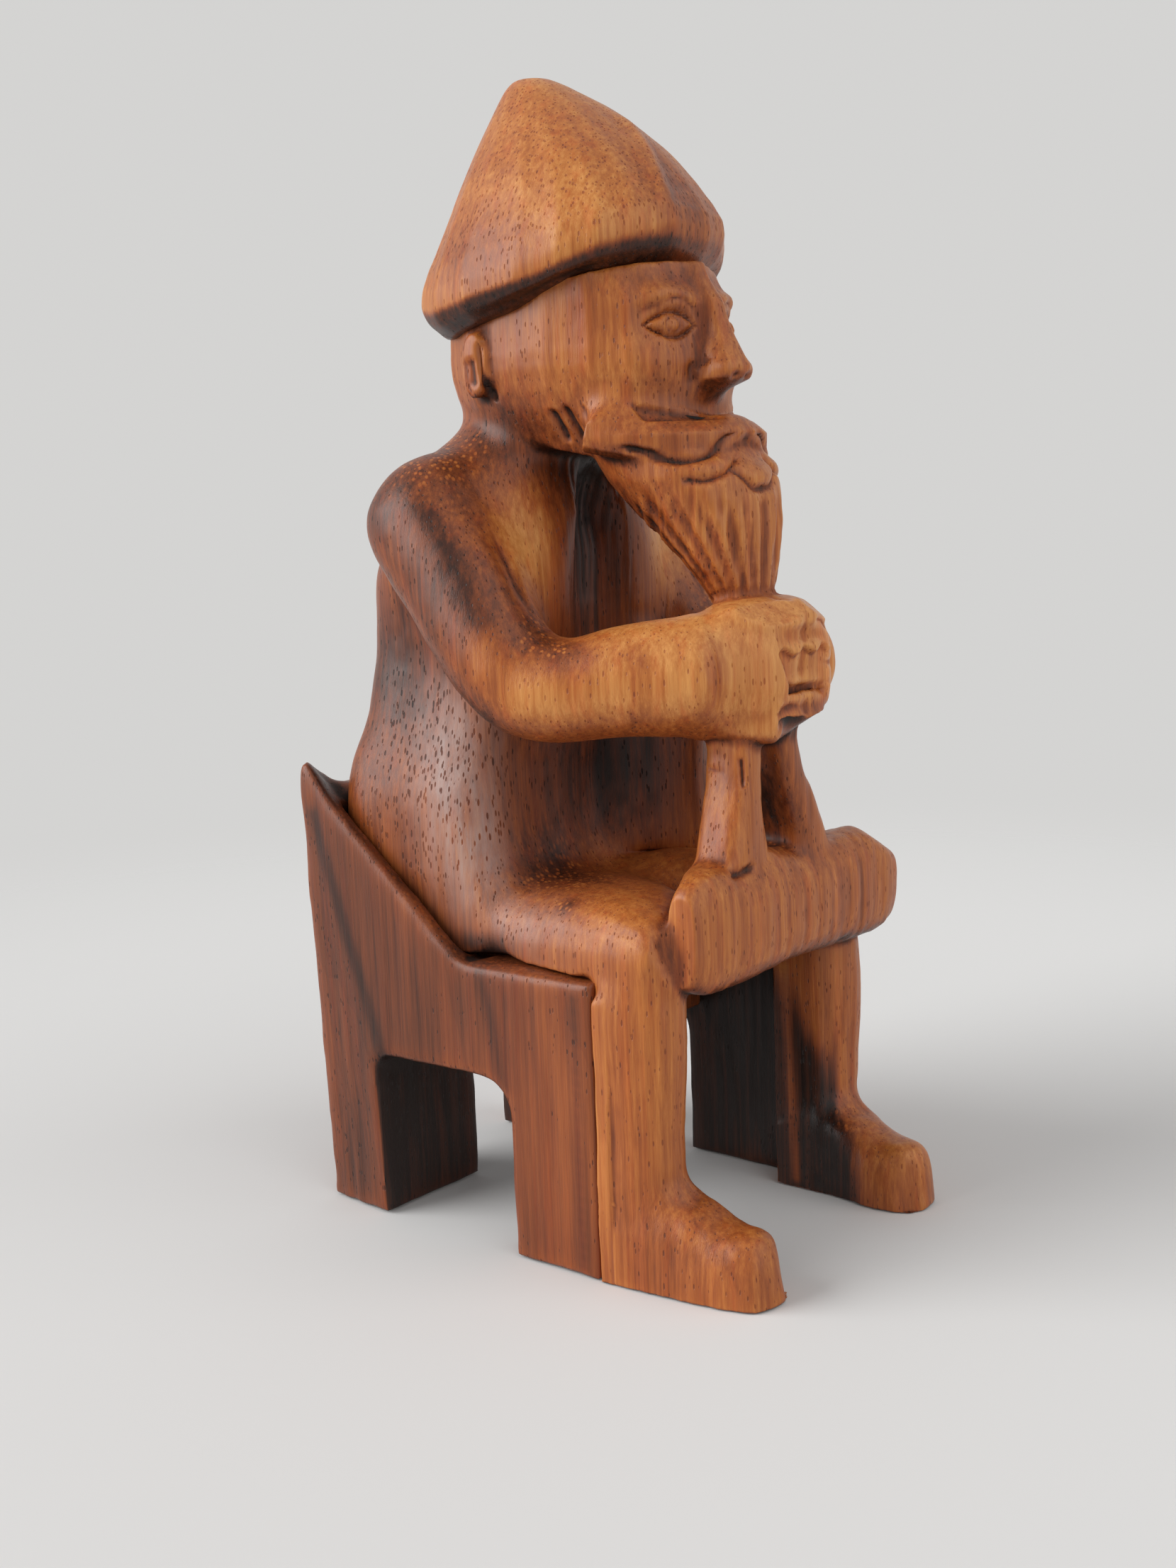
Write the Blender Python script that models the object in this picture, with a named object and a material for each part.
"""Bearded god figure of carved hardwood, seated on a block chair with a hammer on its knees.

Units are metres and +Z is up. The figure faces -Y, so its right side is at -X. The origin
lies on the ground, in the middle of the figure's width and depth.
"""
import math
from dataclasses import dataclass

import bmesh
import bpy
from mathutils import Vector

# Joints and edges
JOINT_GAP = 0.0003
EDGE_ROUND = 0.0012

# Chair, whose depth is the sum of its legs, the gap between them and the foot in front
CHAIR_WIDTH = 0.070
SIDE_THICKNESS = 0.008
REAR_LEG_DEPTH = 0.017
LEG_GAP = 0.033
FRONT_LEG_DEPTH = 0.020
SEAT_TOP = 0.053
SEAT_THICKNESS = 0.021
SEAT_FRONT_THICKNESS = 0.008
BACK_RISE = 0.034
BACK_DIP = 0.005
BACK_THICKNESS = 0.007
WING_LENGTH = 0.0395
WING_GROOVE = 0.0008
ARCH_RADIUS = 0.006
SLOT_WIDTH = 0.026
SLOT_OFFSET = 0.006
REAR_TAPER = 0.0035

# Legs
FOOT_LENGTH = 0.031
FOOT_WIDTH = 0.0136
FOOT_TOE_IN = 0.002
INSTEP_HEIGHT = 0.0165
TOE_HEIGHT = 0.0115
SHIN_WIDTH = 0.014
SHIN_DEPTH = 0.0135
KNEE_WIDTH = 0.020
THIGH_HEIGHT = 0.0135
THIGH_INSET = 0.0045

# Torso and arms
TORSO_LENGTH = 0.093
TORSO_DEPTH = 0.036
WAIST_WIDTH = 0.049
CHEST_WIDTH = 0.054
CHEST_HOLLOW = 0.019
NECK_WIDTH = 0.030
NECK_TILT = math.radians(12)
SHOULDER_SPREAD = 0.050
SHOULDER_RADIUS = 0.0115
SHOULDER_DROP = 0.0145
UPPER_ARM_DROP = 0.030
UPPER_ARM_REACH = 0.0235
ELBOW_SPREAD = 0.055
ELBOW_RADIUS = 0.0093
FOREARM_REACH = 0.0275
WRIST_SPREAD = 0.026
WRIST_HEIGHT = 0.021
HAND_HEIGHT = 0.026
HAND_DEPTH = 0.0195
FINGERS = 4
FINGER_THICKNESS = 0.0064

# Head, beard and cap
HEAD_HEIGHT = 0.0232
HEAD_WIDTH = 0.041
HEAD_DEPTH = 0.054
NOSE_LENGTH = 0.016
NOSE_WIDTH = 0.010
NOSE_PROUD = 0.007
EAR_HEIGHT = 0.0118
EAR_DEPTH = 0.0056
EAR_PROUD = 0.0016
BEARD_WIDTH = 0.034
BEARD_PROUD = 0.011
BEARD_TIP_WIDTH = 0.0135
BEARD_FLUTES = 18
FLUTE_DEPTH = 0.0010
MOUSTACHE_HEIGHT = 0.0076
MOUSTACHE_THICKNESS = 0.0075
MOUSTACHE_REACH = 0.018
CAP_HEIGHT = 0.0408
CAP_WIDTH = 0.0505
CAP_DEPTH = 0.0535
CAP_TILT = math.radians(10)
PEAK_SETBACK = 0.0085

# Hammer and the two strands of beard that reach down to it
HAMMER_LENGTH = 0.068
HAMMER_OFFSET = 0.0032
HAMMER_HEIGHT = 0.022
HAMMER_DEPTH = 0.016
HAMMER_PROUD = 0.006
STRAND_WIDTH = 0.0086
STRAND_DEPTH = 0.0100
FORK_TOP_SPREAD = 0.0095
FORK_FOOT_SPREAD = 0.0235
FORK_LEAN = 0.0035

# Roundness of the modelled forms
RING_SIDES = 20
SMALL_RING_SIDES = 12
FLUTED_RING_SIDES = 4 * BEARD_FLUTES
LOFT_STEPS = 2
DOME_STEPS = 3
SHARP_ANGLE = math.radians(38)

# Lines that the pieces share
FIGURE_DEPTH = REAR_LEG_DEPTH + LEG_GAP + FRONT_LEG_DEPTH + FOOT_LENGTH
REAR_Y = FIGURE_DEPTH / 2
ARCH_REAR_Y = REAR_Y - REAR_LEG_DEPTH
ARCH_FRONT_Y = ARCH_REAR_Y - LEG_GAP
CREASE_Y = ARCH_FRONT_Y - FRONT_LEG_DEPTH
TOE_Y = CREASE_Y - FOOT_LENGTH
SHIN_FRONT_Y = CREASE_Y - SHIN_DEPTH
BACK_FRONT_Y = REAR_Y - BACK_THICKNESS
SIDE_INNER_X = CHAIR_WIDTH / 2 - SIDE_THICKNESS
LEG_X = (CHAIR_WIDTH - SHIN_WIDTH) / 2
ARCH_TOP = SEAT_TOP - SEAT_THICKNESS
WING_TOP = SEAT_TOP + BACK_RISE
BOARD_TOP = WING_TOP - BACK_DIP
SEATED_Z = SEAT_TOP + JOINT_GAP
NECK_Z = SEATED_Z + TORSO_LENGTH
CAP_SEAT_Z = NECK_Z + HEAD_HEIGHT
TORSO_BACK_Y = BACK_FRONT_Y - JOINT_GAP
NECK_Y = TORSO_BACK_Y - 0.75 * TORSO_DEPTH
SHOULDER_Y = TORSO_BACK_Y - 0.59 * TORSO_DEPTH
SHOULDER_Z = NECK_Z - SHOULDER_DROP
ELBOW_Y = SHOULDER_Y - UPPER_ARM_REACH
ELBOW_Z = SHOULDER_Z - UPPER_ARM_DROP
WRIST_Y = ELBOW_Y - FOREARM_REACH
HAND_Y = WRIST_Y - 0.16 * HAND_DEPTH
HAND_Z = ELBOW_Z + 0.08 * HAND_HEIGHT
HEAD_BACK_Y = NECK_Y + 0.26 * HEAD_DEPTH
HEAD_FRONT_Y = HEAD_BACK_Y - HEAD_DEPTH
CAP_Y = HEAD_BACK_Y - 0.45 * HEAD_DEPTH
HAMMER_FRONT_Y = SHIN_FRONT_Y - HAMMER_PROUD
HAMMER_BOTTOM_Z = SEAT_TOP - 0.14 * HAMMER_HEIGHT

RIGHT = -1
LEFT = 1
SIDE_NAMES = {RIGHT: "right", LEFT: "left"}
SIDEWAYS = Vector((1, 0, 0))
UPWARDS = Vector((0, 0, 1))


@dataclass
class Section:
    """Cross-section of a form: a superellipse on two half axes about a centre."""

    centre: Vector
    across: Vector
    along: Vector
    power: float = 2.0
    flute_depth: float = 0.0


def level_section(height, front, back, half_width, power):
    """Section that lies level, from its front and back lines and its half width."""
    centre = Vector((0, (front + back) / 2, height))
    return Section(centre, Vector((half_width, 0, 0)), Vector((0, (back - front) / 2, 0)), power)


def upright_section(x, y, low, high, half_width, power):
    """Section that stands across the figure's depth, from its low and high lines."""
    centre = Vector((x, y, (low + high) / 2))
    return Section(centre, Vector((half_width, 0, 0)), Vector((0, 0, (high - low) / 2)), power)


def side_section(x, front, back, low, high, power):
    """Section that stands across the figure's width."""
    centre = Vector((x, (front + back) / 2, (low + high) / 2))
    return Section(centre, Vector((0, (back - front) / 2, 0)), Vector((0, 0, (high - low) / 2)), power)


def tube_sections(path, first_halves, second_halves, power, kept=SIDEWAYS):
    """Sections square to a path, with the first half axis as near to a kept way as it allows."""
    sections = []
    for index, point in enumerate(path):
        before = path[max(index - 1, 0)]
        after = path[min(index + 1, len(path) - 1)]
        tangent = (after - before).normalized()
        across = (kept - tangent * kept.dot(tangent)).normalized()
        along = tangent.cross(across)
        sections.append(Section(point, across * first_halves[index], along * second_halves[index], power))
    return sections


def spline_value(first, second, third, fourth, share):
    """Catmull-Rom value between the second and third of four values."""
    straight = (third - first) * share
    bend = (2 * first - 5 * second + 4 * third - fourth) * share ** 2
    twist = (3 * second - first - 3 * third + fourth) * share ** 3
    return (2 * second + straight + bend + twist) * 0.5


def smooth_sections(sections, steps):
    """Sections with smooth ones added between each two of the given ones."""
    result = []
    last = len(sections) - 1
    for index in range(last):
        four = [sections[min(max(index + shift, 0), last)] for shift in (-1, 0, 1, 2)]
        for step in range(steps):
            share = step / steps
            result.append(Section(
                spline_value(*[item.centre for item in four], share),
                spline_value(*[item.across for item in four], share),
                spline_value(*[item.along for item in four], share),
                spline_value(*[item.power for item in four], share),
                spline_value(*[item.flute_depth for item in four], share),
            ))
    result.append(sections[last])
    return result


def dome_sections(section, inner, length):
    """Sections that round off a form's end, away from its inner neighbour."""
    direction = (section.centre - inner.centre).normalized()
    result = []
    for step in range(1, DOME_STEPS + 1):
        angle = math.pi / 2 * step / (DOME_STEPS + 0.35)
        centre = section.centre + direction * (length * math.sin(angle))
        scale = math.cos(angle)
        result.append(Section(centre, section.across * scale, section.along * scale, section.power))
    return result


def ring_points(section, sides):
    """Points round a section."""
    points = []
    for step in range(sides):
        angle = 2 * math.pi * (step + 0.5) / sides
        cosine = math.cos(angle)
        sine = math.sin(angle)
        first = math.copysign(abs(cosine) ** (2 / section.power), cosine)
        second = math.copysign(abs(sine) ** (2 / section.power), sine)
        outwards = section.across * first + section.along * second
        groove = section.flute_depth * (1 - math.cos(BEARD_FLUTES * angle)) / 2
        points.append(section.centre + outwards * (1 - groove / outwards.length))
    return points


def add_object(name, work_mesh):
    """Scene object from a closed work mesh, triangulated and facing out."""
    bmesh.ops.recalc_face_normals(work_mesh, faces=work_mesh.faces)
    bmesh.ops.triangulate(work_mesh, faces=work_mesh.faces)
    mesh = bpy.data.meshes.new(name)
    work_mesh.to_mesh(mesh)
    work_mesh.free()
    piece = bpy.data.objects.new(name, mesh)
    bpy.context.scene.collection.objects.link(piece)
    return piece


def loft(name, sections, start_dome=0.0, end_dome=0.0, sides=RING_SIDES):
    """Closed form through sections, each end flat or rounded off over a length."""
    smooth = smooth_sections(sections, LOFT_STEPS)
    if start_dome:
        smooth = dome_sections(smooth[0], smooth[1], start_dome)[::-1] + smooth
    if end_dome:
        smooth = smooth + dome_sections(smooth[-1], smooth[-2], end_dome)
    work_mesh = bmesh.new()
    rings = [[work_mesh.verts.new(point) for point in ring_points(section, sides)] for section in smooth]
    for lower, upper in zip(rings, rings[1:]):
        for index in range(sides):
            following = (index + 1) % sides
            work_mesh.faces.new((lower[index], lower[following], upper[following], upper[index]))
    work_mesh.faces.new(rings[0][::-1])
    work_mesh.faces.new(rings[-1])
    return add_object(name, work_mesh)


def corner_arc(before, corner, after, radius, steps=5):
    """Points that round an outline's corner, or the corner itself for no radius."""
    if not radius:
        return [corner]
    first = (Vector(before) - Vector(corner)).normalized()
    second = (Vector(after) - Vector(corner)).normalized()
    half_angle = first.angle(second) / 2
    bisector = (first + second).normalized()
    middle = Vector(corner) + bisector * (radius / math.sin(half_angle))
    start = Vector(corner) + first * (radius / math.tan(half_angle)) - middle
    end = Vector(corner) + second * (radius / math.tan(half_angle)) - middle
    sweep = start.angle(end)
    points = []
    for step in range(steps + 1):
        share = step / steps
        blend = start * math.sin((1 - share) * sweep) + end * math.sin(share * sweep)
        points.append(tuple(middle + blend / math.sin(sweep)))
    return points


def prism(corners, radii, low_x, high_x):
    """Work mesh with a (y, z) outline, corners rounded, that runs across the figure's width."""
    outline = []
    for index, corner in enumerate(corners):
        before = corners[index - 1]
        after = corners[(index + 1) % len(corners)]
        outline += corner_arc(before, corner, after, radii.get(index, 0))
    work_mesh = bmesh.new()
    low_ring = [work_mesh.verts.new((low_x, y, z)) for y, z in outline]
    high_ring = [work_mesh.verts.new((high_x, y, z)) for y, z in outline]
    for index in range(len(outline)):
        following = (index + 1) % len(outline)
        work_mesh.faces.new((low_ring[index], low_ring[following], high_ring[following], high_ring[index]))
    work_mesh.faces.new(low_ring[::-1])
    work_mesh.faces.new(high_ring)
    bmesh.ops.recalc_face_normals(work_mesh, faces=work_mesh.faces)
    return work_mesh


def round_edges(work_mesh, edges):
    """Soften edges of a work mesh."""
    bmesh.ops.bevel(work_mesh, geom=edges, offset=EDGE_ROUND, segments=2, profile=0.5, affect="EDGES")


def trim(piece, point, direction):
    """Cut away what lies beyond a plane and close the cut."""
    work_mesh = bmesh.new()
    work_mesh.from_mesh(piece.data)
    everything = work_mesh.verts[:] + work_mesh.edges[:] + work_mesh.faces[:]
    bmesh.ops.bisect_plane(
        work_mesh, geom=everything, dist=1e-7, plane_co=point, plane_no=direction, clear_outer=True)
    open_edges = [edge for edge in work_mesh.edges if edge.is_boundary]
    bmesh.ops.holes_fill(work_mesh, edges=open_edges)
    bmesh.ops.recalc_face_normals(work_mesh, faces=work_mesh.faces)
    bmesh.ops.triangulate(work_mesh, faces=work_mesh.faces)
    work_mesh.to_mesh(piece.data)
    work_mesh.free()


def grown_copy(piece, amount):
    """Cutter shaped like a piece with its surface moved out by an amount."""
    work_mesh = bmesh.new()
    work_mesh.from_mesh(piece.data)
    work_mesh.normal_update()
    moves = [vertex.normal * (amount * min(vertex.calc_shell_factor(), 2)) for vertex in work_mesh.verts]
    for vertex, move in zip(work_mesh.verts, moves):
        vertex.co += move
    cutter = add_object(piece.name + "_cutter", work_mesh)
    cutter.hide_render = True
    cutter.display_type = "WIRE"
    return cutter


def combine(piece, tool, operation):
    """Boolean of a piece with a tool object, which is then removed."""
    modifier = piece.modifiers.new(operation.lower(), "BOOLEAN")
    modifier.operation = operation
    modifier.solver = "EXACT"
    modifier.object = tool
    evaluated = piece.evaluated_get(bpy.context.evaluated_depsgraph_get())
    mesh = bpy.data.meshes.new_from_object(evaluated)
    piece.modifiers.clear()
    piece.data = mesh
    bpy.data.objects.remove(tool)


def largest_body(piece):
    """Drop offcuts that a cut has left beside the main body."""
    work_mesh = bmesh.new()
    work_mesh.from_mesh(piece.data)
    waiting = set(work_mesh.verts)
    bodies = []
    while waiting:
        body = [waiting.pop()]
        for vertex in body:
            for edge in vertex.link_edges:
                other = edge.other_vert(vertex)
                if other in waiting:
                    waiting.remove(other)
                    body.append(other)
        bodies.append(body)
    bodies.sort(key=len)
    for body in bodies[:-1]:
        bmesh.ops.delete(work_mesh, geom=body, context="VERTS")
    work_mesh.to_mesh(piece.data)
    work_mesh.free()


def fit_against(piece, *neighbours):
    """Scribe a piece to its neighbours, with the joint gap between them."""
    for neighbour in neighbours:
        combine(piece, grown_copy(neighbour, JOINT_GAP), "DIFFERENCE")
    largest_body(piece)


def make_chair_side(side):
    """Side panel: rear leg, front leg and the arch between them, with a wing up to the back."""
    corners = [
        (REAR_Y, 0),
        (REAR_Y, WING_TOP),
        (REAR_Y - WING_LENGTH, SEAT_TOP),
        (CREASE_Y + JOINT_GAP / 2, SEAT_TOP),
        (CREASE_Y + JOINT_GAP / 2, 0),
        (ARCH_FRONT_Y, 0),
        (ARCH_FRONT_Y, ARCH_TOP),
        (ARCH_REAR_Y, ARCH_TOP),
        (ARCH_REAR_Y, 0),
    ]
    radii = {1: EDGE_ROUND * 1.3, 2: ARCH_RADIUS, 6: ARCH_RADIUS, 7: ARCH_RADIUS / 2}
    outer = side * CHAIR_WIDTH / 2
    inner = side * SIDE_INNER_X
    work_mesh = prism(corners, radii, min(outer, inner), max(outer, inner))
    outer_edges = [
        edge for edge in work_mesh.edges
        if all(abs(vertex.co.x - outer) < JOINT_GAP for vertex in edge.verts)
        and any(vertex.co.z > JOINT_GAP for vertex in edge.verts)
    ]
    round_edges(work_mesh, outer_edges)
    panel = add_object(f"chair_{SIDE_NAMES[side]}_side", work_mesh)
    # The rear outer corner is cut back, more towards the ground
    high = Vector((outer, REAR_Y, WING_TOP))
    middle = Vector((outer, ARCH_REAR_Y, ARCH_TOP))
    low = Vector((outer - side * REAR_TAPER, REAR_Y, 0))
    across = (middle - high).cross(low - high)
    trim(panel, high, across * math.copysign(1, across.x * side))
    combine(panel, make_wing_rebate(side), "DIFFERENCE")
    return panel


def make_wing_rebate(side):
    """Cutter that thins the wing from inside, so that the hips sit in it with a groove round them."""
    margin = JOINT_GAP * 10
    corners = [
        (BACK_FRONT_Y, SEAT_TOP),
        (BACK_FRONT_Y, WING_TOP + margin),
        (CREASE_Y - margin, WING_TOP + margin),
        (CREASE_Y - margin, SEAT_TOP),
    ]
    inner = side * (SIDE_INNER_X - margin)
    outer = side * (CHAIR_WIDTH / 2 - THIGH_INSET + WING_GROOVE)
    return add_object("rebate_cutter", prism(corners, {}, min(inner, outer), max(inner, outer)))


def make_chair_back():
    """Rear legs with a slot between them, and the back board that rises from them."""
    corners = [
        (REAR_Y, 0),
        (REAR_Y, BOARD_TOP),
        (BACK_FRONT_Y, BOARD_TOP),
        (BACK_FRONT_Y, SEAT_TOP),
        (ARCH_REAR_Y, SEAT_TOP),
        (ARCH_REAR_Y, 0),
    ]
    half_width = SIDE_INNER_X - JOINT_GAP
    work_mesh = prism(corners, {1: EDGE_ROUND, 2: EDGE_ROUND}, -half_width, half_width)
    back = add_object("chair_back", work_mesh)
    margin = JOINT_GAP * 10
    slot_corners = [
        (REAR_Y + margin, -margin),
        (REAR_Y + margin, ARCH_TOP),
        (ARCH_REAR_Y - margin, ARCH_TOP),
        (ARCH_REAR_Y - margin, -margin),
    ]
    slot_low = SLOT_OFFSET - SLOT_WIDTH / 2
    slot = add_object("slot_cutter", prism(slot_corners, {}, slot_low, slot_low + SLOT_WIDTH))
    combine(back, slot, "DIFFERENCE")
    return back


def make_chair_seat():
    """Seat block between the side panels, thinner over the space between the front legs."""
    front = CREASE_Y + JOINT_GAP / 2
    rear = ARCH_REAR_Y - JOINT_GAP
    corners = [
        (rear, ARCH_TOP),
        (rear, SEAT_TOP),
        (front, SEAT_TOP),
        (front, SEAT_TOP - SEAT_FRONT_THICKNESS),
        (ARCH_FRONT_Y, SEAT_TOP - SEAT_FRONT_THICKNESS),
        (ARCH_FRONT_Y, ARCH_TOP),
    ]
    half_width = SIDE_INNER_X - JOINT_GAP
    return add_object("chair_seat", prism(corners, {}, -half_width, half_width))


def make_torso():
    """Squarish trunk that leans on the chair back, with a drawn-in waist and sloped shoulders."""
    hip = CHAIR_WIDTH / 2 - THIGH_INSET
    waist = WAIST_WIDTH / 2
    chest = CHEST_WIDTH / 2
    neck = NECK_WIDTH / 2
    # Height as a share of the trunk, front and back as shares of its depth, half width, power
    rows = [
        (-0.04, 1.16, 0.00, hip, 8.0),
        (0.05, 1.10, 0.00, hip, 8.0),
        (0.15, 1.00, -0.02, hip, 8.5),
        (0.30, 0.95, -0.06, 0.95 * hip + 0.05 * waist, 8.0),
        (0.43, 0.99, -0.03, 0.4 * hip + 0.6 * waist, 4.8),
        (0.56, 1.15, -0.02, waist, 3.4),
        (0.72, 1.21, 0.00, (waist + chest) / 2, 3.0),
        (0.85, 1.16, 0.14, chest, 2.6),
        (0.95, 1.09, 0.31, 0.6 * chest + 0.4 * neck, 2.4),
        (1.03, 1.06, 0.45, neck, 2.2),
        (1.10, 1.07, 0.47, neck, 2.2),
    ]
    sections = []
    for height, front, back, half_width, power in rows:
        sections.append(level_section(
            SEATED_Z + height * TORSO_LENGTH,
            TORSO_BACK_Y - front * TORSO_DEPTH,
            TORSO_BACK_Y - back * TORSO_DEPTH,
            half_width,
            power,
        ))
    torso = loft("torso", sections)
    combine(torso, make_chest_hollow(), "DIFFERENCE")
    trim(torso, Vector((0, 0, SEATED_Z)), Vector((0, 0, -1)))
    neck_normal = Vector((0, -math.sin(NECK_TILT), math.cos(NECK_TILT)))
    trim(torso, Vector((0, NECK_Y, NECK_Z)) - neck_normal * (JOINT_GAP / 2), neck_normal)
    return torso


def make_chest_hollow():
    """Cutter for the hollow that runs down the chest behind the beard and the hands."""
    front = TORSO_BACK_Y - 1.6 * TORSO_DEPTH
    # Height as a share of the trunk, way in as a share of its depth, width share
    rows = [(0.34, 1.10, 0.3), (0.45, 1.00, 0.8), (0.62, 0.97, 1.0), (0.80, 0.98, 0.9), (0.93, 1.02, 0.6)]
    sections = []
    for height, inwards, width in rows:
        sections.append(level_section(
            SEATED_Z + height * TORSO_LENGTH,
            front,
            TORSO_BACK_Y - inwards * TORSO_DEPTH,
            width * CHEST_HOLLOW / 2,
            2.4,
        ))
    return loft("hollow_cutter", sections, sides=SMALL_RING_SIDES)


def make_head():
    """Head block between the neck joint and the cap, with a nose and flat ears."""
    half = HEAD_WIDTH / 2
    # Height as a share of the head, front and back as shares of its depth, width share, power
    rows = [
        (-0.34, 0.20, 0.86, 0.62, 2.2),
        (-0.08, 0.06, 0.93, 0.76, 2.2),
        (0.17, 0.02, 0.97, 0.91, 2.3),
        (0.46, 0.00, 1.00, 1.00, 2.4),
        (0.75, 0.00, 1.00, 1.00, 2.4),
        (1.50, 0.02, 1.00, 0.97, 2.4),
    ]
    sections = []
    for height, front, back, width, power in rows:
        sections.append(level_section(
            NECK_Z + height * HEAD_HEIGHT,
            HEAD_FRONT_Y + front * HEAD_DEPTH,
            HEAD_FRONT_Y + back * HEAD_DEPTH,
            half * width,
            power,
        ))
    head = loft("head", sections)
    combine(head, make_nose(), "UNION")
    for side in (RIGHT, LEFT):
        combine(head, make_ear(side), "UNION")
    neck_normal = Vector((0, -math.sin(NECK_TILT), math.cos(NECK_TILT)))
    trim(head, Vector((0, NECK_Y, NECK_Z)) + neck_normal * (JOINT_GAP / 2), -neck_normal)
    cap_normal = Vector((0, math.sin(CAP_TILT), math.cos(CAP_TILT)))
    trim(head, Vector((0, CAP_Y, CAP_SEAT_Z)) - cap_normal * (JOINT_GAP / 2), cap_normal)
    return head


def make_nose():
    """Straight wedge of a nose, widest at its wings."""
    top = CAP_SEAT_Z
    # Way down the nose, how far it stands out and its width, as shares
    rows = [(-0.3, 0.25, 0.45), (0.1, 0.32, 0.50), (0.5, 0.66, 0.66), (0.85, 1.00, 0.95), (1.0, 0.86, 1.0)]
    root = HEAD_FRONT_Y + 0.7 * NOSE_PROUD
    sections = []
    for down, proud, width in rows:
        sections.append(level_section(
            top - down * NOSE_LENGTH,
            HEAD_FRONT_Y - proud * NOSE_PROUD,
            root,
            width * NOSE_WIDTH / 2,
            2.0,
        ))
    return loft("nose_tool", sections, end_dome=0.12 * NOSE_LENGTH, sides=SMALL_RING_SIDES)


def make_ear(side):
    """Flat upright oval under the brim."""
    centre_y = HEAD_FRONT_Y + 0.68 * HEAD_DEPTH
    centre_z = NECK_Z + 0.52 * HEAD_HEIGHT
    half = HEAD_WIDTH / 2
    sections = []
    for out, size in ((0.80 * half, 0.86), (half, 1.0), (half + 0.6 * EAR_PROUD, 0.95)):
        sections.append(side_section(
            side * out,
            centre_y - size * EAR_DEPTH / 2,
            centre_y + size * EAR_DEPTH / 2,
            centre_z - size * EAR_HEIGHT / 2,
            centre_z + size * EAR_HEIGHT / 2,
            2.3,
        ))
    return loft("ear_tool", sections, end_dome=0.4 * EAR_PROUD, sides=SMALL_RING_SIDES)


def make_cap():
    """Rounded-square conical cap with a rolled brim, tipped up at the front."""
    # Height, width, depth and set-back as shares of the cap's own sizes, then the power
    rows = [
        (-0.06, 0.78, 0.79, 0.04, 2.5),
        (0.04, 0.91, 0.92, 0.02, 2.5),
        (0.13, 1.00, 1.00, 0.00, 2.5),
        (0.27, 0.97, 0.97, -0.06, 2.5),
        (0.45, 0.81, 0.81, 0.02, 2.4),
        (0.65, 0.585, 0.585, 0.36, 2.3),
        (0.82, 0.385, 0.385, 0.66, 2.2),
        (0.94, 0.23, 0.23, 0.90, 2.1),
        (0.98, 0.15, 0.15, 1.00, 2.0),
    ]
    sections = []
    for height, width, depth, setback, power in rows:
        tilt = CAP_TILT * max(1 - height, 0)
        centre = Vector((0, CAP_Y + setback * PEAK_SETBACK, CAP_SEAT_Z + height * CAP_HEIGHT))
        backwards = Vector((0, math.cos(tilt), -math.sin(tilt)))
        sections.append(Section(
            centre, Vector((width * CAP_WIDTH / 2, 0, 0)), backwards * (depth * CAP_DEPTH / 2), power))
    cap = loft("cap", sections, end_dome=0.02 * CAP_HEIGHT)
    cap_normal = Vector((0, math.sin(CAP_TILT), math.cos(CAP_TILT)))
    trim(cap, Vector((0, CAP_Y, CAP_SEAT_Z)) + cap_normal * (JOINT_GAP / 2), -cap_normal)
    return cap


def arm_path(side):
    """Points down the arm: shoulder, upper arm, elbow, forearm, wrist and into the hand."""
    shoulder = Vector((side * SHOULDER_SPREAD / 2, SHOULDER_Y, SHOULDER_Z))
    elbow = Vector((side * ELBOW_SPREAD / 2, ELBOW_Y, ELBOW_Z))
    wrist = Vector((side * WRIST_SPREAD / 2, WRIST_Y, HAND_Z))
    hand = Vector((side * WRIST_SPREAD / 8, HAND_Y, HAND_Z))
    outwards = Vector((side * 0.1 * ELBOW_RADIUS, 0, 0))
    return [shoulder, (shoulder + elbow) / 2 + outwards, elbow, (elbow + wrist) / 2 + outwards, wrist, hand]


def make_arm(side):
    """Upper arm and forearm, parted at the elbow and at the wrist."""
    path = arm_path(side)
    middle = (SHOULDER_RADIUS + ELBOW_RADIUS) / 2
    wrist_half = WRIST_HEIGHT / 2
    half_widths = [SHOULDER_RADIUS, middle, ELBOW_RADIUS, ELBOW_RADIUS, 0.9 * wrist_half, 0.8 * wrist_half]
    half_heights = [SHOULDER_RADIUS, middle, ELBOW_RADIUS, ELBOW_RADIUS, wrist_half, wrist_half]
    sections = tube_sections(path, half_widths, half_heights, 2.1)
    arms = []
    for part in ("upper_arm", "forearm"):
        arms.append(loft(f"{SIDE_NAMES[side]}_{part}", sections, start_dome=0.9 * SHOULDER_RADIUS))
    upper_arm, forearm = arms
    elbow_way = (path[3] - path[1]).normalized()
    trim(upper_arm, path[2] - elbow_way * (JOINT_GAP / 2), elbow_way)
    trim(forearm, path[2] + elbow_way * (JOINT_GAP / 2), -elbow_way)
    wrist_way = wrist_direction(side)
    trim(forearm, path[4] - wrist_way * (JOINT_GAP / 2), wrist_way)
    return upper_arm, forearm


def wrist_direction(side):
    """Way that the forearm runs through the wrist."""
    path = arm_path(side)
    return (path[5] - path[3]).normalized()


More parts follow.
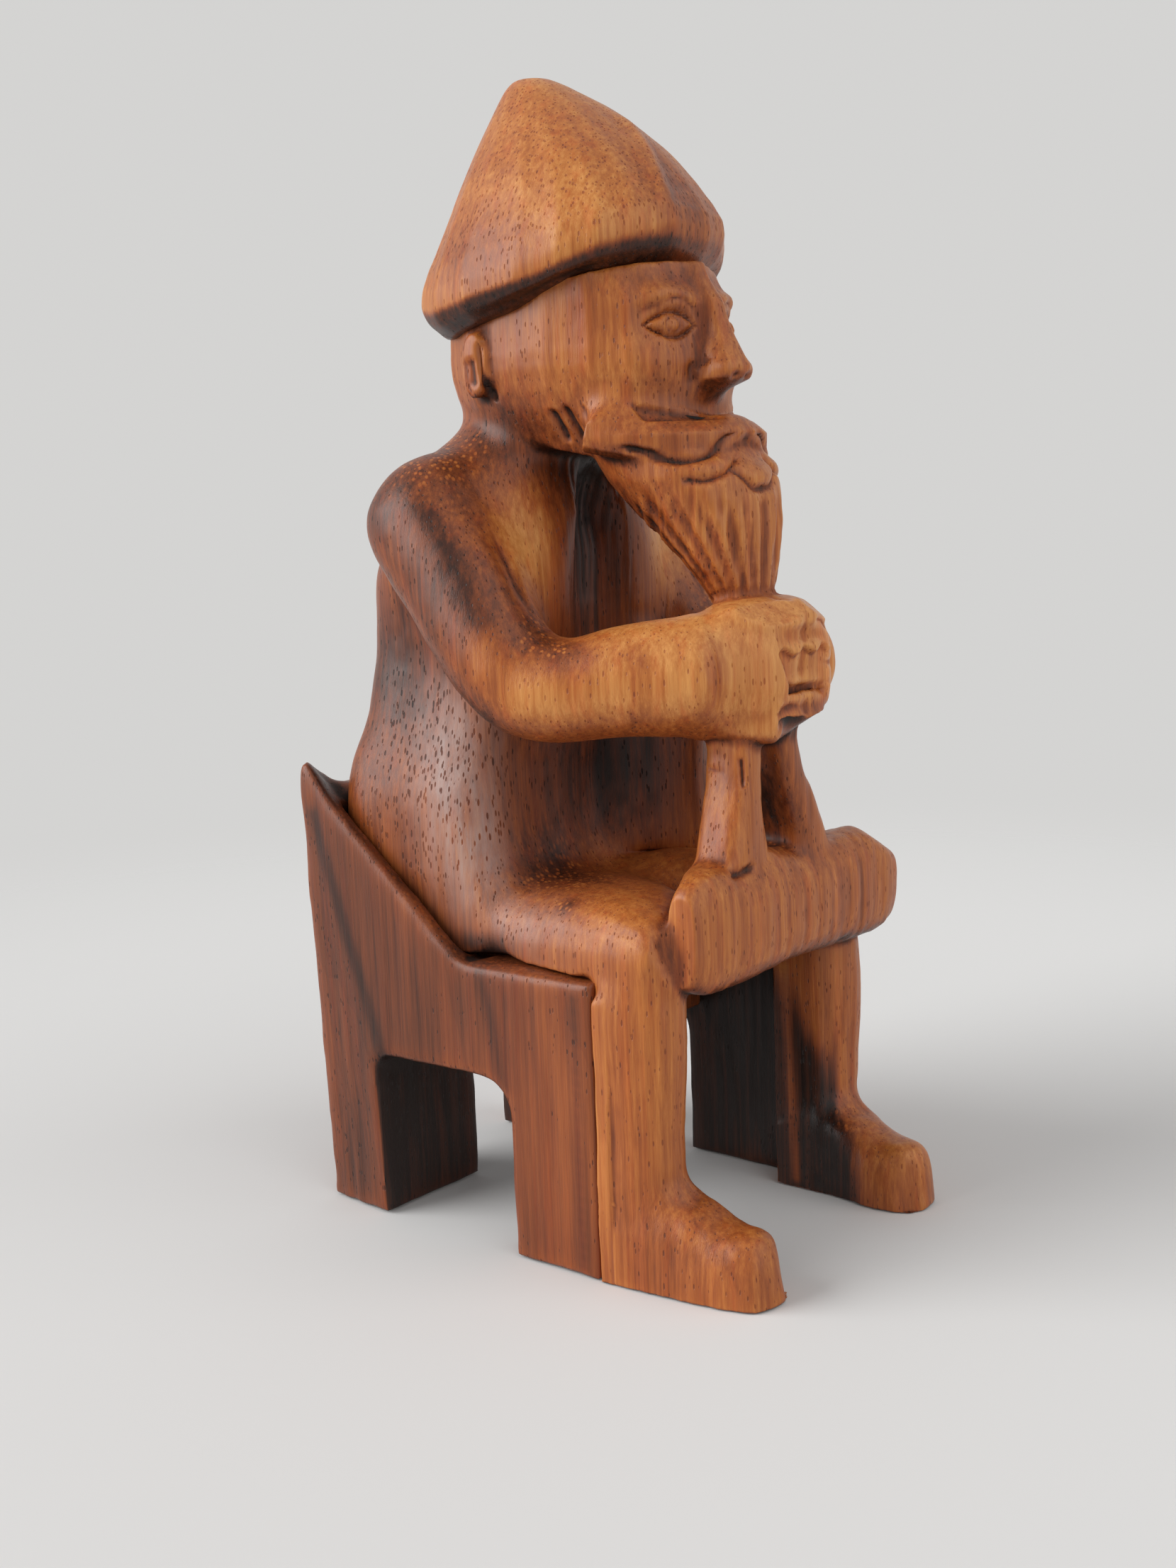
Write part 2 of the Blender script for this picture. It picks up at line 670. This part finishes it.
def make_hand(side):
    """Closed hand that meets the other one in the figure's middle plane."""
    wrist = arm_path(side)[4]
    half_height = HAND_HEIGHT / 2
    half_depth = HAND_DEPTH / 2
    # Way in from the wrist, set forward, depth and height, as shares
    rows = [(-0.35, -0.55, 0.80, 0.76), (0.0, -0.25, 0.88, 0.82), (0.35, -0.02, 1.0, 0.95),
            (0.7, 0.0, 1.0, 1.0), (1.1, 0.0, 0.98, 1.0)]
    sections = []
    for inwards, forward, depth, height in rows:
        centre_y = HAND_Y - forward * half_depth
        sections.append(side_section(
            wrist.x * (1 - inwards),
            centre_y - depth * half_depth,
            centre_y + depth * half_depth,
            HAND_Z - height * half_height,
            HAND_Z + height * half_height,
            2.4,
        ))
    hand = loft(f"{SIDE_NAMES[side]}_hand", sections)
    for finger in range(FINGERS):
        combine(hand, make_finger(side, finger), "UNION")
    trim(hand, Vector((side * JOINT_GAP / 2, 0, 0)), Vector((-side, 0, 0)))
    way = wrist_direction(side)
    trim(hand, wrist + way * (JOINT_GAP / 2), -way)
    return hand


def make_finger(side, finger):
    """Finger that bends round the front of the hand, one of a stack."""
    half_thickness = FINGER_THICKNESS / 2
    pitch = 0.95 * HAND_HEIGHT / FINGERS
    height = HAND_Z + (finger - (FINGERS - 1) / 2) * pitch
    front = HAND_Y - HAND_DEPTH / 2 + 0.9 * half_thickness
    knuckle_x = side * WRIST_SPREAD / 2
    # Way in to the middle, way back from the front and thickness, as shares
    rows = [(0.15, 0.55, 0.8), (0.42, 0.12, 1.0), (0.75, 0.0, 1.0), (1.1, 0.0, 0.95)]
    path = []
    for inwards, back, _ in rows:
        path.append(Vector((knuckle_x * (1 - inwards), front + back * HAND_DEPTH / 2, height)))
    sizes = [thickness * half_thickness for _, _, thickness in rows]
    sections = tube_sections(path, sizes, sizes, 2.2, UPWARDS)
    return loft("finger_tool", sections, start_dome=0.8 * half_thickness, sides=SMALL_RING_SIDES)


def make_thigh(side):
    """Half of the lap: a thigh that lies on the seat beside the other one, up to the knee."""
    outer_hip = CHAIR_WIDTH / 2 - THIGH_INSET
    outer_knee = CHAIR_WIDTH / 2 - 0.15 * THIGH_INSET
    knee_y = SHIN_FRONT_Y + 0.30 * SHIN_DEPTH
    hip_y = TORSO_BACK_Y - 0.70 * TORSO_DEPTH
    lap_half = 1.06 * outer_hip / 2
    knee_half = KNEE_WIDTH / 2
    # Way from hip to knee, outer line, half width and height share
    rows = [
        (0.00, outer_hip, lap_half, 0.92),
        (0.35, outer_hip, lap_half, 0.94),
        (0.62, (outer_hip + outer_knee) / 2, lap_half, 1.00),
        (0.85, outer_knee, 0.5 * lap_half + 0.5 * knee_half, 1.00),
        (1.00, outer_knee, knee_half, 0.86),
    ]
    sections = []
    for way, outer, half_width, height in rows:
        sections.append(upright_section(
            side * (outer - half_width),
            hip_y + way * (knee_y - hip_y),
            SEAT_TOP - 0.8 * THIGH_HEIGHT,
            SEAT_TOP + height * THIGH_HEIGHT,
            half_width,
            3.0,
        ))
    thigh = loft(f"{SIDE_NAMES[side]}_thigh", sections, end_dome=0.30 * SHIN_DEPTH)
    trim(thigh, Vector((0, 0, SEATED_Z)), Vector((0, 0, -1)))
    trim(thigh, Vector((side * JOINT_GAP / 2, 0, 0)), Vector((-side, 0, 0)))
    return thigh


def make_shin(side):
    """Upright shin, widest where it lies against the chair leg."""
    rear = CREASE_Y + SHIN_DEPTH
    # Height as a share of the seat's, and girth
    rows = [(1.0, 1.0), (0.80, 1.0), (0.5, 0.96), (0.28, 0.98), (0.18, 0.98)]
    sections = []
    for height, girth in rows:
        front = rear - (rear - SHIN_FRONT_Y) * girth
        section = level_section(height * SEAT_TOP, front, rear, girth * SHIN_WIDTH / 2, 2.6)
        section.centre.x = side * LEG_X
        sections.append(section)
    shin = loft(f"{SIDE_NAMES[side]}_shin", sections)
    trim(shin, Vector((0, CREASE_Y - JOINT_GAP / 2, 0)), Vector((0, 1, 0)))
    return shin


def make_foot(side):
    """Foot with a flat sole, a high instep and a rounded toe."""
    heel_y = CREASE_Y - JOINT_GAP / 2
    toe_dome = 0.10 * FOOT_LENGTH
    last_y = TOE_Y + toe_dome
    ankle = 1.05 * SHIN_WIDTH / 2
    ball = FOOT_WIDTH / 2
    # Way from heel to toe, height, half width and squareness
    rows = [
        (0.0, INSTEP_HEIGHT, ankle, 4.5),
        (0.42, INSTEP_HEIGHT, ankle, 4.0),
        (0.60, (INSTEP_HEIGHT + TOE_HEIGHT) / 2 + 0.1 * TOE_HEIGHT, (ankle + ball) / 2, 3.2),
        (0.82, TOE_HEIGHT * 1.04, ball, 2.8),
        (1.0, TOE_HEIGHT * 0.94, 0.84 * ball, 2.7),
    ]
    sections = []
    for way, height, half_width, power in rows:
        sections.append(upright_section(
            side * (LEG_X - way * FOOT_TOE_IN),
            heel_y + way * (last_y - heel_y),
            -height,
            height,
            half_width,
            power,
        ))
    foot = loft(f"{SIDE_NAMES[side]}_foot", sections, end_dome=toe_dome)
    trim(foot, Vector((0, 0, 0)), Vector((0, 0, -1)))
    return foot


def make_hammer():
    """Short-handled hammer's head that lies across the knees, with a rounded lobe at each end."""
    half = HAMMER_LENGTH / 2
    # Way along from the middle, front and back as shares of depth, bottom and top of height
    rows = [
        (-0.97, 0.20, 0.47, 0.24, 0.72),
        (-0.90, 0.11, 0.50, 0.10, 0.90),
        (-0.76, 0.05, 0.60, 0.02, 1.00),
        (-0.55, 0.01, 0.90, 0.00, 0.97),
        (-0.30, 0.00, 1.00, 0.02, 0.96),
        (0.00, 0.00, 1.00, 0.05, 0.93),
        (0.30, 0.00, 1.00, 0.02, 0.96),
        (0.55, 0.00, 0.90, 0.00, 0.97),
        (0.76, 0.00, 0.60, 0.02, 1.00),
        (0.90, 0.01, 0.50, 0.06, 0.94),
        (0.97, 0.06, 0.47, 0.16, 0.82),
    ]
    sections = []
    for way, front, back, low, high in rows:
        sections.append(side_section(
            HAMMER_OFFSET + way * half,
            HAMMER_FRONT_Y + front * HAMMER_DEPTH,
            HAMMER_FRONT_Y + back * HAMMER_DEPTH,
            HAMMER_BOTTOM_Z + low * HAMMER_HEIGHT,
            HAMMER_BOTTOM_Z + high * HAMMER_HEIGHT,
            3.2,
        ))
    dome = 0.03 * half
    return loft("hammer_head", sections, start_dome=dome, end_dome=dome)


def make_strand(side):
    """Strand of the forked beard, from the hands down to the hammer."""
    top = HAND_Z - 0.25 * HAND_HEIGHT
    bottom = HAMMER_BOTTOM_Z + 0.6 * HAMMER_HEIGHT
    top_x = side * FORK_TOP_SPREAD / 2 - FORK_LEAN
    foot_x = side * FORK_FOOT_SPREAD / 2
    foot_y = HAMMER_FRONT_Y + 0.42 * HAMMER_DEPTH
    # Way down, way outwards, width and depth share
    rows = [(0.0, 0.0, 0.85, 1.0), (0.35, 0.3, 0.85, 0.95), (0.7, 0.85, 1.15, 1.0), (1.0, 1.0, 1.6, 1.1)]
    sections = []
    for way, outwards, width, depth in rows:
        half_depth = depth * STRAND_DEPTH / 2
        section = level_section(0, -half_depth, half_depth, width * STRAND_WIDTH / 2, 3.2)
        section.centre = Vector((
            top_x + outwards * (foot_x - top_x),
            HAND_Y + way * (foot_y - HAND_Y),
            top + way * (bottom - top),
        ))
        sections.append(section)
    strand = loft(f"{SIDE_NAMES[side]}_strand", sections, sides=SMALL_RING_SIDES)
    trim(strand, Vector((side * JOINT_GAP / 2 - FORK_LEAN, 0, 0)), Vector((-side, 0, 0)))
    return strand


def make_moustache(side):
    """Thick moustache lobe that bends round the cheek to a blunt end."""
    height = MOUSTACHE_HEIGHT / 2
    thick = MOUSTACHE_THICKNESS / 2
    lip_z = NECK_Z - 0.06 * HEAD_HEIGHT
    # Way out to the side, set back along the cheek, way up, height and thickness shares
    rows = [
        (-0.05, -0.065, 0.08, 0.75, 0.9),
        (0.25, -0.055, 0.0, 0.9, 1.0),
        (0.58, 0.02, -0.06, 1.0, 1.0),
        (0.85, 0.13, -0.02, 1.05, 0.95),
        (1.0, 0.25, 0.06, 1.1, 0.85),
    ]
    path = []
    for way, setback, rise, _, _ in rows:
        path.append(Vector((
            side * way * MOUSTACHE_REACH,
            HEAD_FRONT_Y + setback * HEAD_DEPTH,
            lip_z + rise * HEAD_HEIGHT,
        )))
    heights = [row[3] * height for row in rows]
    thicknesses = [row[4] * thick for row in rows]
    sections = tube_sections(path, heights, thicknesses, 2.6, UPWARDS)
    lobe = loft(f"{SIDE_NAMES[side]}_moustache", sections, sides=SMALL_RING_SIDES)
    trim(lobe, Vector((side * JOINT_GAP / 2, 0, 0)), Vector((-side, 0, 0)))
    return lobe


def make_beard():
    """Beard that falls from the lip, swells and narrows into the clasped hands."""
    top = NECK_Z - 0.02 * HEAD_HEIGHT
    bottom = HAND_Z + 0.30 * HAND_HEIGHT
    wide = BEARD_WIDTH / 2
    tip = BEARD_TIP_WIDTH / 2
    front = HEAD_FRONT_Y
    tip_front = HAND_Y - 0.08 * HAND_DEPTH
    tip_back = HAND_Y + 0.42 * HAND_DEPTH
    # Way down, front line, back line, half width and depth of the flutes as a share
    rows = [
        (0.00, front - 0.35 * BEARD_PROUD, front + 2.2 * BEARD_PROUD, wide, 0.0),
        (0.25, front - 0.85 * BEARD_PROUD, front + 1.7 * BEARD_PROUD, 0.92 * wide, 0.0),
        (0.47, front - BEARD_PROUD, front + 1.1 * BEARD_PROUD, 0.6 * wide + 0.4 * tip, 0.8),
        (0.70, (front - BEARD_PROUD + tip_front) / 2, (front + 0.7 * BEARD_PROUD + tip_back) / 2,
         0.3 * wide + 0.7 * tip, 1.0),
        (0.88, tip_front, tip_back, tip, 0.8),
        (1.00, tip_front, tip_back, tip, 0.8),
    ]
    sections = []
    for way, front_line, back_line, half_width, flute in rows:
        section = level_section(top + way * (bottom - top), front_line, back_line, half_width, 2.2)
        section.flute_depth = flute * FLUTE_DEPTH
        sections.append(section)
    return loft("beard", sections, sides=FLUTED_RING_SIDES)


def make_wood(name, colour, roughness):
    """Oiled wood of one colour."""
    material = bpy.data.materials.new(name)
    material.use_nodes = True
    shader = material.node_tree.nodes["Principled BSDF"]
    shader.inputs["Base Color"].default_value = (*colour, 1)
    shader.inputs["Roughness"].default_value = roughness
    shader.inputs["Metallic"].default_value = 0.0
    return material


def finish_piece(piece, wood, parent):
    """Give a piece its wood, its shading and its place in the figure."""
    piece.data.name = piece.name
    piece.data.materials.clear()
    piece.data.materials.append(wood)
    piece.data.shade_smooth()
    piece.data.set_sharp_from_angle(angle=SHARP_ANGLE)
    piece.parent = parent


def main():
    """Build the figure from the chair upwards."""
    for item in list(bpy.data.objects):
        bpy.data.objects.remove(item)
    golden = make_wood("golden_wood", (0.44, 0.15, 0.045), 0.38)
    russet = make_wood("russet_wood", (0.28, 0.082, 0.028), 0.40)
    dark = make_wood("dark_wood", (0.17, 0.046, 0.018), 0.42)
    figure = bpy.data.objects.new("figure", None)
    bpy.context.scene.collection.objects.link(figure)

    chair_sides = [make_chair_side(side) for side in (RIGHT, LEFT)]
    chair_back = make_chair_back()
    chair_seat = make_chair_seat()
    torso = make_torso()
    fit_against(torso, chair_back, *chair_sides)
    head = make_head()
    cap = make_cap()

    arms = []
    hands = []
    thighs = []
    shins = []
    feet = []
    for side in (RIGHT, LEFT):
        upper_arm, forearm = make_arm(side)
        fit_against(upper_arm, torso)
        fit_against(forearm, torso)
        arms += [upper_arm, forearm]
        hands.append(make_hand(side))
        thigh = make_thigh(side)
        fit_against(thigh, torso, *chair_sides)
        thighs.append(thigh)
        foot = make_foot(side)
        feet.append(foot)
        shin = make_shin(side)
        fit_against(shin, foot)
        shins.append(shin)

    hammer = make_hammer()
    fit_against(hammer, *thighs, *shins)
    moustache = [make_moustache(side) for side in (RIGHT, LEFT)]
    for lobe in moustache:
        fit_against(lobe, head)
    beard = make_beard()
    fit_against(beard, head, *moustache, *hands)
    strands = [make_strand(side) for side in (RIGHT, LEFT)]
    for strand in strands:
        fit_against(strand, hammer, *hands)

    for piece in [*chair_sides, chair_back, chair_seat, torso]:
        finish_piece(piece, dark, figure)
    for piece in [head, *arms, *thighs]:
        finish_piece(piece, russet, figure)
    for piece in [cap, *hands, *shins, *feet, hammer, *moustache, beard, *strands]:
        finish_piece(piece, golden, figure)


main()
